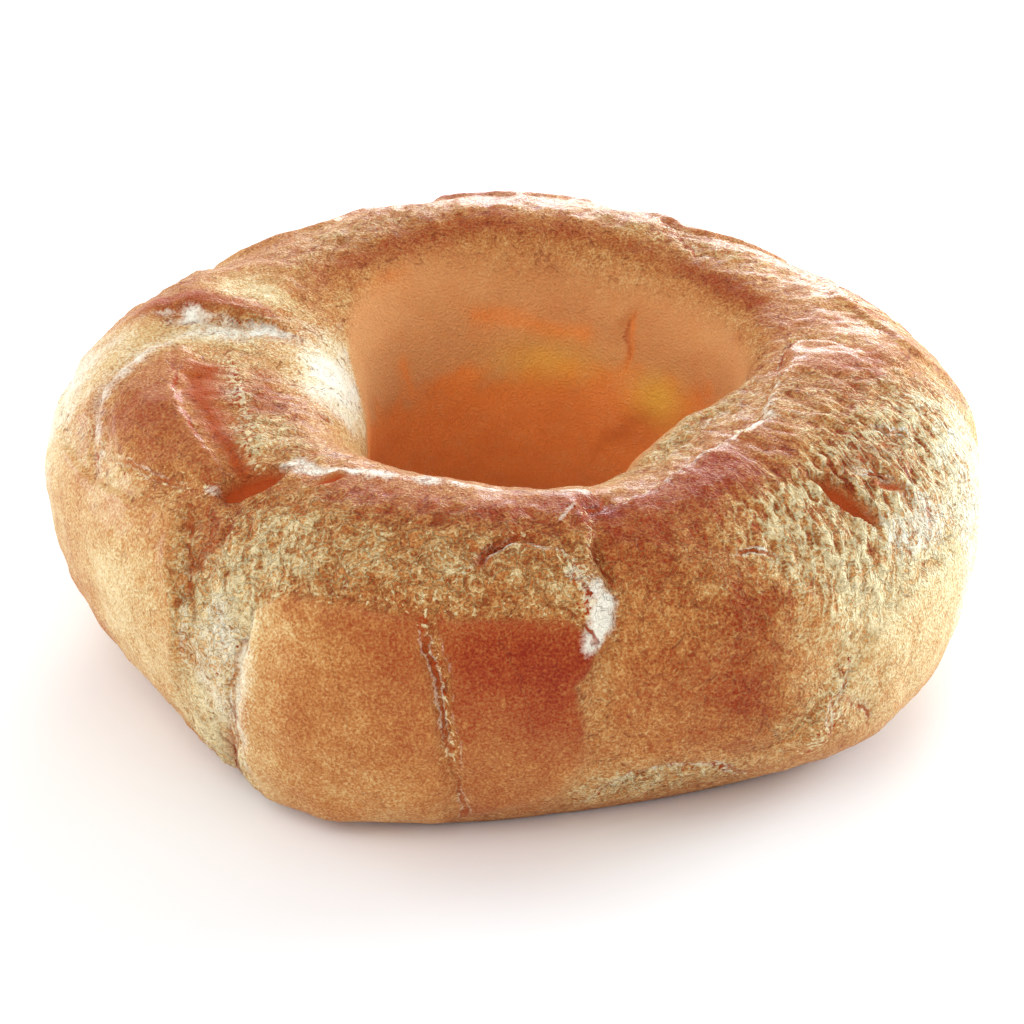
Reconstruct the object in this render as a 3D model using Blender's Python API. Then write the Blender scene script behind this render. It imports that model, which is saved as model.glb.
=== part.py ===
"""Baked choux pastry ring, the uncut shell of a paris brest.

One puffed ring of golden brown choux, solid through, standing on a flat baked foot.
The form starts as a torus. Its section is redrawn at twelve stations round the ring, and then
the puffed lobes, the furrows between them and the torn pits are raised from or pressed into it.
Metres, +Z up, front towards -Y, origin under the middle of the bounding box.
"""
import bpy
import numpy as np

MM = 0.001
COLLECTION_NAME = "paris_brest_ring"
NODE_NAME = "choux_ring"

# Facets of the torus round the ring and round its section.
FACETS_AROUND = 96
FACETS_ACROSS = 48
TORUS_RADIUS = 33.0
TORUS_TUBE = 15.0

# The section at twelve stations, in mm. The stations stand every 30 degrees, from the front
# through the right, the back and the left.
OUTER_RADII = (44.5, 47.0, 49.0, 50.5, 50.0, 49.6, 50.0, 50.3, 50.3, 50.0, 46.2, 46.5)
CREST_RADII = (32.0, 32.5, 33.5, 34.0, 33.5, 33.0, 33.0, 33.0, 33.0, 33.5, 32.5, 32.0)
HOLE_RADII = (19.0, 17.6, 15.9, 22.6, 24.0, 22.5, 21.5, 20.0, 17.5, 15.5, 17.0, 18.0)
CREST_HEIGHTS = (31.9, 31.3, 32.3, 32.7, 33.2, 35.0, 36.8, 35.8, 34.2, 33.0, 32.2, 32.0)
BELLY_HEIGHTS = (16.5, 16.0, 17.0, 19.0, 19.0, 18.5, 18.0, 18.0, 18.5, 19.0, 18.0, 16.5)

# Squareness of the section's quarters: 1 is round, under 1 is fuller, over 1 is more pinched.
UPPER_OUTER_SHAPE = 0.92
LOWER_INNER_SHAPE = 1.0
LOWER_OUTER_SHAPES = (1.00, 1.20, 0.85, 0.95, 1.05, 1.05, 1.05, 1.05, 1.05, 1.05, 1.05, 0.82)
UPPER_INNER_SHAPES = (0.85, 0.78, 0.62, 0.66, 0.80, 0.95, 0.95, 0.95, 0.85, 0.75, 0.80, 0.85)

# The section would end this far under the tray, which cuts it off as the flat foot, and the
# relief fades out over this height above the tray, in mm.
FOOT_CUT = 2.5
FOOT_FADE = 3.0

# Puffed lobes and broad hollows: angle round the ring, angle across the section (0 outermost,
# 90 crest, 180 hole), their half widths in degrees, and the rise in mm.
LOBES = {
    "smooth front-left plate": (-23, -6, 13, 32, 1.2),
    "front-left foot": (-27, -42, 16, 20, 0.8),
    "dark front plate": (1, 10, 8, 26, 0.9),
    "front blister": (1, 53, 5, 11, 0.5),
    "front-right cheek": (31, 30, 14, 32, 0.8),
    "right hanging bulge": (44, -22, 20, 22, 1.3),
    "right cheek": (64, 28, 14, 30, 0.5),
    "right crest lump": (86, 84, 10, 22, 1.2),
    "left domed plate": (-72, 68, 11, 22, 1.2),
    "left smooth side": (-58, 6, 11, 24, 0.6),
    "back-left lobe": (-112, 66, 12, 22, 0.6),
    "back side left": (-145, 10, 15, 34, 0.6),
    "back side middle": (178, 5, 14, 36, 0.6),
    "back side right": (148, 0, 13, 34, 0.6),
    "left front hollow": (-46, 62, 9, 24, -0.9),
    "left front slope": (-33, 17, 5, 22, -0.6),
    "right inner shelf": (58, 118, 26, 12, -0.9),
}

# Furrows between the lobes: the points of the line as (angle round the ring, angle across the
# section), its half width in mm, and the depth in mm.
FURROWS = {
    "front seam": (((-10, 34), (-8, 0), (-6, -40)), 1.5, 0.8),
    "front-left ledge": (((-10, 38), (-24, 39), (-34, 28), (-35, 0), (-38, -48)), 1.9, 0.9),
    "front rim notch": (((16, 104), (13, 84), (11, 56), (11, 22), (10, -12)), 2.1, 1.3),
    "left front step": (((-50, 56), (-46, 36), (-43, 8), (-45, -30)), 2.1, 1.1),
    "left ridge": (((-66, 28), (-77, 45), (-86, 60), (-98, 90)), 2.2, 1.1),
    "left crest break": (((-52, 92), (-72, 100), (-92, 106), (-104, 112)), 2.2, 0.9),
    "right crest break": (((100, 116), (95, 96), (88, 80), (84, 60)), 2.0, 1.2),
    "right crest ridge": (((20, 96), (40, 107), (56, 104), (72, 108), (92, 111)), 2.0, 0.8),
    "right cheek furrow": (((45, 88), (47, 56), (46, 20), (48, -25)), 2.2, 0.7),
    "back rim notch": (((143, 110), (147, 88), (150, 60)), 2.2, 0.9),
    "back furrow right": (((132, 50), (134, 5), (130, -40)), 2.4, 0.9),
    "back furrow middle": (((163, 60), (161, 10), (165, -40)), 2.4, 0.9),
    "back furrow left": (((-162, 70), (-160, 10), (-164, -40)), 2.4, 0.9),
    "back-left furrow": (((-128, 80), (-125, 20), (-128, -40)), 2.4, 1.0),
}

# Small leaf-shaped pits where the crust tore: both ends as angles, half width and depth in mm.
PITS = {
    "left pit": (((-47, 63), (-45, 88)), 1.8, 1.6),
    "right pit": (((49, 70), (51, 46)), 1.8, 1.4),
}

CRUST_COLOUR = (0.62, 0.33, 0.11, 1.0)
CRUST_ROUGHNESS = 0.62


def between_stations(station_values, around):
    """Closed smooth curve through equally spaced values: the sum of their Fourier waves."""
    count = len(station_values)
    waves = np.fft.rfft(station_values) / count
    total = np.full_like(around, waves[0].real)
    for order in range(1, len(waves)):
        weight = 1 if 2 * order == count else 2
        cosine = waves[order].real * np.cos(order * around)
        sine = waves[order].imag * np.sin(order * around)
        total += weight * (cosine - sine)
    return total


def power_with_sign(value, exponent):
    """The value raised to an exponent, keeping its sign."""
    tiny = 1e-9
    return np.sign(value) * (np.abs(value) + tiny) ** exponent


def section(around, across):
    """Radius and height of the plain section: a superellipse quarter by quarter, in mm."""
    outer = between_stations(OUTER_RADII, around)
    crest = between_stations(CREST_RADII, around)
    hole = between_stations(HOLE_RADII, around)
    top = between_stations(CREST_HEIGHTS, around)
    belly = between_stations(BELLY_HEIGHTS, around)
    lower_outer = between_stations(LOWER_OUTER_SHAPES, around)
    upper_inner = between_stations(UPPER_INNER_SHAPES, around)
    outwards = np.cos(across) > 0
    upwards = np.sin(across) > 0
    upper_shape = np.where(outwards, UPPER_OUTER_SHAPE, upper_inner)
    lower_shape = np.where(outwards, lower_outer, LOWER_INNER_SHAPE)
    shape = np.where(upwards, upper_shape, lower_shape)
    reach = np.where(outwards, outer - crest, crest - hole)
    rise = np.where(upwards, top - belly, belly + FOOT_CUT)
    radius = crest + reach * power_with_sign(np.cos(across), shape)
    height = belly + rise * power_with_sign(np.sin(across), shape)
    return radius, height


def turned(degrees, centre):
    """Difference between two angles in degrees, from -180 to 180."""
    return (degrees - centre + 180.0) % 360.0 - 180.0


def lobe(around_deg, across_deg, centre_around, centre_across, half_around, half_across, rise):
    """Soft bulge: a Gaussian in both angles."""
    u = turned(around_deg, centre_around) / half_around
    v = turned(across_deg, centre_across) / half_across
    return rise * np.exp(-u * u - v * v)


def distance_to_line(around_deg, across_deg, line):
    """Distance in mm along the crust to a line of angle pairs, and how far along it (0 to 1)."""
    mm_around = np.radians(1.0) * (TORUS_RADIUS + TORUS_TUBE * np.cos(np.radians(across_deg)))
    mm_across = np.radians(1.0) * TORUS_TUBE
    nearest = np.full_like(around_deg, np.inf)
    progress = np.zeros_like(around_deg)
    for order, (start, end) in enumerate(zip(line, line[1:])):
        run_u = (end[0] - start[0]) * mm_around
        run_v = (end[1] - start[1]) * mm_across
        u = turned(around_deg, start[0]) * mm_around
        v = turned(across_deg, start[1]) * mm_across
        along = np.clip((u * run_u + v * run_v) / (run_u ** 2 + run_v ** 2), 0.0, 1.0)
        distance = np.hypot(u - along * run_u, v - along * run_v)
        progress = np.where(distance < nearest, (order + along) / (len(line) - 1), progress)
        nearest = np.minimum(nearest, distance)
    return nearest, progress


def relief(around_deg, across_deg):
    """Rise of the crust over the plain section in mm: lobes, less furrows, less pits."""
    rise = np.zeros_like(around_deg)
    for values in LOBES.values():
        rise += lobe(around_deg, across_deg, *values)
    for line, half_width, depth in list(FURROWS.values()) + list(PITS.values()):
        distance, progress = distance_to_line(around_deg, across_deg, line)
        taper = np.sqrt(np.sin(np.pi * progress))
        rise -= depth * taper * np.exp(-(distance / half_width) ** 2)
    return rise


def crust_points(around, across):
    """Points of the crust in mm: section plus relief, cut flat where it meets the tray."""
    radius, height = section(around, across)
    rise = relief(np.degrees(around), np.degrees(across))
    rise *= np.clip(height / FOOT_FADE, 0.0, 1.0)
    radius = radius + rise * np.cos(across)
    height = np.maximum(height + rise * np.sin(across), 0.0)
    return np.stack([radius * np.sin(around), -radius * np.cos(around), height], axis=-1)


def clear_scene():
    """Remove every object that the file opened with."""
    for thing in list(bpy.data.objects):
        bpy.data.objects.remove(thing, do_unlink=True)


def crust_material():
    """Golden brown baked choux."""
    material = bpy.data.materials.new("choux_crust")
    material.use_nodes = True
    shader = material.node_tree.nodes["Principled BSDF"]
    shader.inputs["Base Color"].default_value = CRUST_COLOUR
    shader.inputs["Roughness"].default_value = CRUST_ROUGHNESS
    shader.inputs["Metallic"].default_value = 0.0
    return material


def make_ring(collection):
    """The torus, moved onto the crust and centred over the origin."""
    bpy.ops.mesh.primitive_torus_add(
        major_segments=FACETS_AROUND,
        minor_segments=FACETS_ACROSS,
        major_radius=TORUS_RADIUS,
        minor_radius=TORUS_TUBE,
    )
    ring = bpy.context.object
    ring.name = NODE_NAME
    ring.data.name = NODE_NAME
    points = np.empty(len(ring.data.vertices) * 3)
    ring.data.vertices.foreach_get("co", points)
    x, y, z = points.reshape(-1, 3).T
    around = np.arctan2(x, -y)
    across = np.arctan2(z, np.hypot(x, y) - TORUS_RADIUS)
    points = crust_points(around, across)
    middle = (points.min(axis=0) + points.max(axis=0)) / 2
    points[:, :2] -= middle[:2]
    ring.data.vertices.foreach_set("co", (points * MM).ravel())
    ring.data.update()
    ring.data.shade_smooth()
    ring.data.materials.append(crust_material())
    for owner in list(ring.users_collection):
        owner.objects.unlink(ring)
    collection.objects.link(ring)


clear_scene()
ring_collection = bpy.data.collections.new(COLLECTION_NAME)
bpy.context.scene.collection.children.link(ring_collection)
make_ring(ring_collection)
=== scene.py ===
import itertools
import math

import bpy
import numpy as np
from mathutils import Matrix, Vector


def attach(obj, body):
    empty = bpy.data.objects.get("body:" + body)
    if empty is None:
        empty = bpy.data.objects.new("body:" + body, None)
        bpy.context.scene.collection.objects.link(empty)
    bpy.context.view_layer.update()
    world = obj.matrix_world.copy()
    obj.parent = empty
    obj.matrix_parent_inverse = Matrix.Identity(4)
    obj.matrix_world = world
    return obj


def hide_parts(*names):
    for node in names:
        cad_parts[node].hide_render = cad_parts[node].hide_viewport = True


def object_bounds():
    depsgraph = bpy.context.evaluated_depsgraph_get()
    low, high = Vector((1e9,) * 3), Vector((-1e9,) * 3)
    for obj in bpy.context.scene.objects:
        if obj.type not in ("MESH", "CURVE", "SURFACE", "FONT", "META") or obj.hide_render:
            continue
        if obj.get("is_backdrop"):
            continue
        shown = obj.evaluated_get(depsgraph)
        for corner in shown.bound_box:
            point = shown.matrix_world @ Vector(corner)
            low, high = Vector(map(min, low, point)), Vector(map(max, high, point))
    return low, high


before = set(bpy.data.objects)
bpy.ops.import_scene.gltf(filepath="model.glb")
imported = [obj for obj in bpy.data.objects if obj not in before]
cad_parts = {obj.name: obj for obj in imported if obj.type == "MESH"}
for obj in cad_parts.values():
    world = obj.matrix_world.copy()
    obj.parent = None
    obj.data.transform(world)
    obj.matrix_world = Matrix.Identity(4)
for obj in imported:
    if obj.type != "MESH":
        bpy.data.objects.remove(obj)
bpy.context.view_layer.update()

MM = 0.001


# The piped ring. A thick rope of choux paste is piped in a circle on a flat tray and swells in
# the oven into an uneven ring. It is one closed skin, a superellipse section that changes at
# twelve stations, every 30 degrees from the front through right, back and left. All is in mm.
outer_radii = (44.5, 47.0, 49.0, 50.5, 50.0, 49.6, 50.0, 50.3, 50.3, 50.0, 46.2, 46.5)
crest_radii = (32.0, 32.5, 33.5, 34.0, 33.5, 33.0, 33.0, 33.0, 33.0, 33.5, 32.5, 32.0)
hole_radii = (19.0, 17.6, 15.9, 22.6, 24.0, 22.5, 21.5, 20.0, 17.5, 15.5, 17.0, 18.0)
crest_heights = (31.9, 31.3, 32.3, 32.7, 33.2, 35.0, 36.8, 35.8, 34.2, 33.0, 32.2, 32.0)
belly_heights = (16.5, 16.0, 17.0, 19.0, 19.0, 18.5, 18.0, 18.0, 18.5, 19.0, 18.0, 16.5)
upper_outer_shape = 0.92
lower_inner_shape = 1.0
lower_outer_shapes = (1.00, 1.20, 0.85, 0.95, 1.05, 1.05, 1.05, 1.05, 1.05, 1.05, 1.05, 0.82)
upper_inner_shapes = (0.85, 0.78, 0.62, 0.66, 0.80, 0.95, 0.95, 0.95, 0.85, 0.75, 0.80, 0.85)

# The section would end this far under the tray, which cuts it off as the flat foot, and the
# relief fades out over this height above the tray.
foot_cut = 2.5
foot_fade = 3.0

# The rope's mean radius and half width turn angles into lengths along the skin.
rope_radius = 33.0
rope_half_width = 15.0
tiny = 1e-9

# Grid steps round the ring and across its section, and how far they are drawn together.
steps_around = 620
steps_across = 160
front_fineness = 0.25
top_fineness = 0.30
finest_across = math.radians(50)


def ring_grid():
    """Angle round the ring (0 front, 90 right) and across the section (0 outermost, 90 crest,
    180 hole) on a closed grid, with the steps drawn together at the front and on the top."""
    u = np.linspace(-np.pi, np.pi, steps_around, endpoint=False)
    v = np.linspace(-np.pi, np.pi, steps_across, endpoint=False)
    around = u - front_fineness * np.sin(u)
    across = finest_across + v - top_fineness * np.sin(v)
    return np.meshgrid(around, across, indexing="ij")


def between_stations(station_values, around):
    """Closed smooth curve through equally spaced values: the sum of their Fourier waves."""
    count = len(station_values)
    waves = np.fft.rfft(station_values) / count
    total = np.full_like(around, waves[0].real)
    for order in range(1, len(waves)):
        weight = 1 if 2 * order == count else 2
        cosine = waves[order].real * np.cos(order * around)
        sine = waves[order].imag * np.sin(order * around)
        total += weight * (cosine - sine)
    return total


def power_with_sign(value, exponent):
    """The value raised to an exponent, keeping its sign."""
    return np.sign(value) * (np.abs(value) + tiny) ** exponent


def piped_section(around, across):
    """Radius and height of the plain section: a superellipse quarter by quarter, in mm."""
    outer = between_stations(outer_radii, around)
    crest = between_stations(crest_radii, around)
    hole = between_stations(hole_radii, around)
    top = between_stations(crest_heights, around)
    belly = between_stations(belly_heights, around)
    lower_outer = between_stations(lower_outer_shapes, around)
    upper_inner = between_stations(upper_inner_shapes, around)
    outwards = np.cos(across) > 0
    upwards = np.sin(across) > 0
    upper_shape = np.where(outwards, upper_outer_shape, upper_inner)
    lower_shape = np.where(outwards, lower_outer, lower_inner_shape)
    shape = np.where(upwards, upper_shape, lower_shape)
    reach = np.where(outwards, outer - crest, crest - hole)
    lift = np.where(upwards, top - belly, belly + foot_cut)
    radius = crest + reach * power_with_sign(np.cos(across), shape)
    height = belly + lift * power_with_sign(np.sin(across), shape)
    return radius, height


around, across = ring_grid()
around_deg = (np.degrees(around) + 180) % 360 - 180
across_deg = (np.degrees(across) + 90) % 360 - 90
mm_around = np.radians(1) * (rope_radius + rope_half_width * np.cos(across))
mm_across = np.radians(1) * rope_half_width


def turned(degrees, centre):
    """Difference between two angles in degrees, from -180 to 180."""
    return (degrees - centre + 180) % 360 - 180


def patch(centre_around, centre_across, half_around, half_across):
    """Soft spot from 0 to 1: a Gaussian in both angles."""
    u = turned(around_deg, centre_around) / half_around
    v = turned(across_deg, centre_across) / half_across
    return np.exp(-u * u - v * v)


def all_patches(spots):
    """Sum of soft spots, each its centre and half widths in degrees, and its strength."""
    return sum(spot[4] * patch(*spot[:4]) for spot in spots)


# The swelling. Steam puffs the ring into broad lobes with hollows between them, before the
# crust sets. Each is centre around, centre across, two half widths in degrees, and rise in mm.
swellings = {
    "smooth front-left plate": (-23, -6, 13, 32, 1.2),
    "front-left foot": (-27, -42, 16, 20, 0.8),
    "dark front plate": (1, 10, 8, 26, 0.9),
    "front blister": (1, 53, 5, 11, 0.5),
    "front-right cheek": (31, 30, 14, 32, 0.8),
    "right hanging bulge": (44, -22, 20, 22, 1.3),
    "right cheek": (64, 28, 14, 30, 0.5),
    "right crest lump": (88, 90, 9, 16, 0.4),
    "left domed plate": (-72, 68, 11, 22, 1.2),
    "left smooth side": (-58, 6, 11, 24, 0.6),
    "back-left lobe": (-112, 66, 12, 22, 0.6),
    "back side left": (-145, 10, 15, 34, 0.6),
    "back side middle": (178, 5, 14, 36, 0.6),
    "back side right": (148, 0, 13, 34, 0.6),
    "left front hollow": (-46, 62, 9, 24, -0.9),
    "left front slope": (-33, 17, 5, 22, -0.6),
    "right inner shelf": (58, 118, 26, 12, -0.9),
}

ring_radius, ring_height = piped_section(around, across)
above_foot = np.clip(ring_height / foot_fade, 0, 1)
swelling = all_patches(swellings.values()) * above_foot
ring_radius = ring_radius + swelling * np.cos(across)
ring_height = ring_height + swelling * np.sin(across)
skin = np.stack([ring_radius * np.sin(around), -ring_radius * np.cos(around), ring_height], -1)


# Both kinds of random field below read a shuffled table of this many entries. The gain brings
# the first to about -1 to 1, and the second starts from a distance beyond any speck.
table_size = 256
noise_gain = 1.6
out_of_reach = 9.0


def gradient_noise(points, cell, seed):
    """Smooth random field from about -1 to 1: slopes on the corners of cubes of one cell size,
    blended across each cube by a fifth-degree fade."""
    draw = np.random.default_rng(seed)
    order = draw.permutation(table_size)
    slopes = draw.normal(size=(table_size, 3))
    slopes /= np.linalg.norm(slopes, axis=1, keepdims=True)
    place = points / cell
    corner = np.floor(place).astype(int)
    inside = place - corner
    fade = inside ** 3 * (inside * (inside * 6 - 15) + 10)
    total = np.zeros(points.shape[:-1])
    for step in itertools.product((0, 1), repeat=3):
        index = np.zeros(points.shape[:-1], int)
        share = np.ones(points.shape[:-1])
        for axis in range(3):
            index = order[(index + corner[..., axis] + step[axis]) % table_size]
            share = share * (fade[..., axis] if step[axis] else 1 - fade[..., axis])
        total += share * np.sum(slopes[index] * (inside - step), axis=-1)
    return total * noise_gain


def speck_distance(points, cell, seed):
    """Distance to the nearest random speck, in cells, with one speck in each cube."""
    draw = np.random.default_rng(seed)
    order = draw.permutation(table_size)
    offsets = draw.random((table_size, 3))
    place = points / cell
    corner = np.floor(place).astype(int)
    nearest = np.full(points.shape[:-1], out_of_reach)
    for step in itertools.product((-1, 0, 1), repeat=3):
        cube = corner + np.array(step)
        index = np.zeros(points.shape[:-1], int)
        for axis in range(3):
            index = order[(index + cube[..., axis]) % table_size]
        nearest = np.minimum(nearest, np.linalg.norm(cube + offsets[index] - place, axis=-1))
    return nearest


def outward_normals(surface):
    """Unit normals of the closed grid, from the cross product of its two central differences."""
    along = np.roll(surface, -1, 0) - np.roll(surface, 1, 0)
    over = np.roll(surface, -1, 1) - np.roll(surface, 1, 1)
    normal = np.cross(along, over)
    return normal / np.maximum(np.linalg.norm(normal, axis=-1, keepdims=True), tiny)


# The crust plates. The skin sets and bursts, so smoother plates stand a little proud of the
# rough stretched dough around them. Each plate is an outline of angle pairs (around, across),
# its height and the width of its edge in mm, how sleek it is (0 to 1) and its extra browning.
plates = {
    "smooth front-left plate": (
        ((-10, 33), (-16, 35), (-23, 36), (-28, 35), (-32, 28), (-33, 12), (-34, -3),
         (-34, -19), (-35, -41), (-28, -56), (-10, -57), (-8, -30), (-8.5, -8), (-9, 6),
         (-10.5, 21)), 0.45, 0.35, 1.0, 0.0),
    "dark front plate": (
        ((-9, 33), (-4, 34.5), (1, 34.5), (6, 34), (8, 30), (9.5, 25), (9.8, 19), (7.3, 10),
         (8.3, 3), (8.8, -8), (9, -20), (6, -40), (-5, -42), (-6, -22), (-6.8, 0), (-7, 13),
         (-8.8, 24)), 0.45, 0.35, 0.95, 0.08),
    "rough front crest": (
        ((-30, 50), (-16, 42), (2, 40), (10, 44), (11, 58), (12, 76), (14, 96), (0, 104),
         (-20, 106), (-36, 104), (-33, 80)), 0.20, 0.6, 0.0, 0.0),
    "right cheek": (
        ((15, 92), (14, 76), (13, 58), (13.5, 40), (12, 12), (12, -16), (18, -24), (32, -18),
         (39, 2), (42, 26), (33, 40), (36, 62), (44, 84), (46, 96), (24, 92)),
        0.15, 0.7, 0.35, 0.05),
    "left domed plate": (
        ((-66, 44), (-73, 54), (-80, 66), (-88, 80), (-92, 88), (-84, 90), (-76, 83),
         (-67, 79), (-57, 76), (-49, 71), (-53, 62)), 0.55, 0.40, 0.35, 0.04),
    "left side": (
        ((-51, 44), (-60, 36), (-72, 30), (-84, 26), (-104, 24), (-116, 10), (-116, -30),
         (-90, -40), (-60, -34), (-48, -28), (-43.5, -2), (-46, 24)), 0.35, 0.5, 0.65, 0.0),
    "left end": (
        ((-79, 46), (-90, 59), (-99, 74), (-112, 66), (-114, 36), (-100, 32), (-84, 36)),
        0.25, 0.9, 0.7, 0.0),
    "right crest lump": (
        ((81, 90), (87, 80), (94, 86), (98, 98), (95, 107), (86, 106), (80, 98)),
        0.15, 0.7, 0.5, 0.02),
    "right bulge": (
        ((34, -44), (54, -44), (72, -24), (74, 4), (58, 14), (46, 8), (40, -8), (33, -26)),
        0.40, 0.6, 0.6, 0.0),
    "back-left lobe": (
        ((-104, 84), (-114, 66), (-122, 72), (-130, 92), (-122, 108), (-108, 104)),
        0.3, 1.3, 0.5, 0.0),
    "back side right": (
        ((134, 56), (132, 0), (136, -34), (158, -34), (162, 10), (160, 60), (148, 76)),
        0.4, 0.5, 0.9, 0.05),
    "back side middle": (
        ((167, 64), (166, 8), (168, -36), (-168, -34), (-166, 6), (-168, 66), (180, 74)),
        0.40, 0.5, 0.9, 0.10),
    "back side left": (
        ((-158, 58), (-161, 4), (-158, -34), (-132, -34), (-128, 14), (-132, 62), (-146, 70)),
        0.4, 0.5, 0.8, 0.0),
    "right back side": (
        ((98, 60), (92, 20), (96, -26), (118, -34), (128, -4), (128, 48), (114, 72)),
        0.35, 0.5, 0.7, 0.0),
}

# Sideways shift in mm, in two directions, that keeps torn edges from running straight.
wander = np.stack([
    0.55 * gradient_noise(skin, 3.2, 11) + 0.30 * gradient_noise(skin, 1.3, 12),
    0.55 * gradient_noise(skin, 3.2, 13) + 0.30 * gradient_noise(skin, 1.3, 14),
])


def wandering_offsets(point, amount):
    """Offsets in mm along the skin from one angle pair, shifted by the wander of torn dough."""
    u = turned(around_deg, point[0]) * mm_around + amount * wander[0]
    v = turned(across_deg, point[1]) * mm_across + amount * wander[1]
    return u, v


def line_distance(line, wandering=1.0):
    """Distance in mm to a line of angle pairs, how far along it from 0 to 1, and the side:
    positive to the left of its direction as seen from outside."""
    nearest = np.full_like(around, np.inf)
    progress = np.zeros_like(around)
    side = np.zeros_like(around)
    for order, (start, end) in enumerate(zip(line, line[1:])):
        run_u = turned(end[0], start[0]) * mm_around
        run_v = (end[1] - start[1]) * mm_across
        u, v = wandering_offsets(start, wandering)
        along = np.clip((u * run_u + v * run_v) / (run_u ** 2 + run_v ** 2), 0, 1)
        distance = np.hypot(u - along * run_u, v - along * run_v)
        closer = distance < nearest
        progress = np.where(closer, (order + along) / (len(line) - 1), progress)
        side = np.where(closer, np.sign(run_u * v - run_v * u), side)
        nearest = np.minimum(nearest, distance)
    return nearest, progress, side


def soft_bands(lines, wandering=1.0):
    """Strongest of the soft bands along some lines, each given as its angle pairs, half width in
    mm and strength: the strength times a Gaussian of the distance to the line."""
    strongest = np.zeros_like(around)
    for line, half_width, strength in lines:
        distance, _, _ = line_distance(line, wandering)
        strongest = np.maximum(strongest, strength * np.exp(-(distance / half_width) ** 2))
    return strongest


def within_outline(outline):
    """Signed distance in mm to a closed outline of angle pairs, positive inside it: the least
    distance to its edges, with the sign from counting crossings."""
    inside = np.zeros(around.shape, bool)
    nearest = np.full_like(around, np.inf)
    first = outline[0]
    first_u, first_v = wandering_offsets(first, 1.0)
    for start, end in zip(outline, outline[1:] + outline[:1]):
        run_u = turned(end[0], start[0]) * mm_around
        run_v = (end[1] - start[1]) * mm_across
        u = first_u - turned(start[0], first[0]) * mm_around
        v = first_v - (start[1] - first[1]) * mm_across
        along = np.clip((u * run_u + v * run_v) / (run_u ** 2 + run_v ** 2), 0, 1)
        nearest = np.minimum(nearest, np.hypot(u - along * run_u, v - along * run_v))
        spans = (v > 0) != (v > run_v)
        left = u < run_u * v / np.where(run_v == 0, tiny, run_v)
        inside ^= spans & left
    return np.where(inside, nearest, -nearest)


def smooth_step(value, low, high):
    """0 below low, 1 above high, with a soft S between."""
    t = np.clip((value - low) / (high - low), 0, 1)
    return t * t * (3 - 2 * t)


# A plate's edge is softer low on the side, and rolled up a little just inside its outline.
low_side_softening = 5
low_side_starts = 40
roll_rise = 0.30
roll_width = 1.1

plate_mask = {}
plate_relief = np.zeros_like(around)
plate_browning = np.zeros_like(around)
sleek = np.zeros_like(around)
for name, (outline, height, edge, smoothness, tint) in plates.items():
    depth_inside = within_outline(outline)
    soft_edge = edge * (1 + low_side_softening * smooth_step(-across_deg, 0, low_side_starts))
    mask = smooth_step(depth_inside, -soft_edge, soft_edge)
    rolled_edge = 1 + roll_rise * np.exp(-((depth_inside - edge) / roll_width) ** 2)
    plate_mask[name] = mask
    plate_relief += height * mask * rolled_edge
    plate_browning += tint * mask
    sleek = np.maximum(sleek, smoothness * mask)


# These seams of angle pairs are both a step and a crack.
back_seam_right = ((163, 70), (164, 30), (162, -4), (165, -40))
back_seam_left = ((-163, 62), (-165, 20), (-162, -20), (-164, -44))
right_back_seam = ((131, 60), (130, 20), (131, -12), (128, -40))
left_back_seam = ((-125, 70), (-124, 30), (-127, -4), (-124, -40))
right_crest_seam = ((84, 112), (91, 110), (98, 103), (98, 94), (94, 84))
back_rim_seam = ((138, 98), (142, 90), (147, 84), (152, 74))
domed_plate_seam = ((-88, 84), (-80, 84), (-72, 80), (-62, 77.5), (-52, 73))

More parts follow.
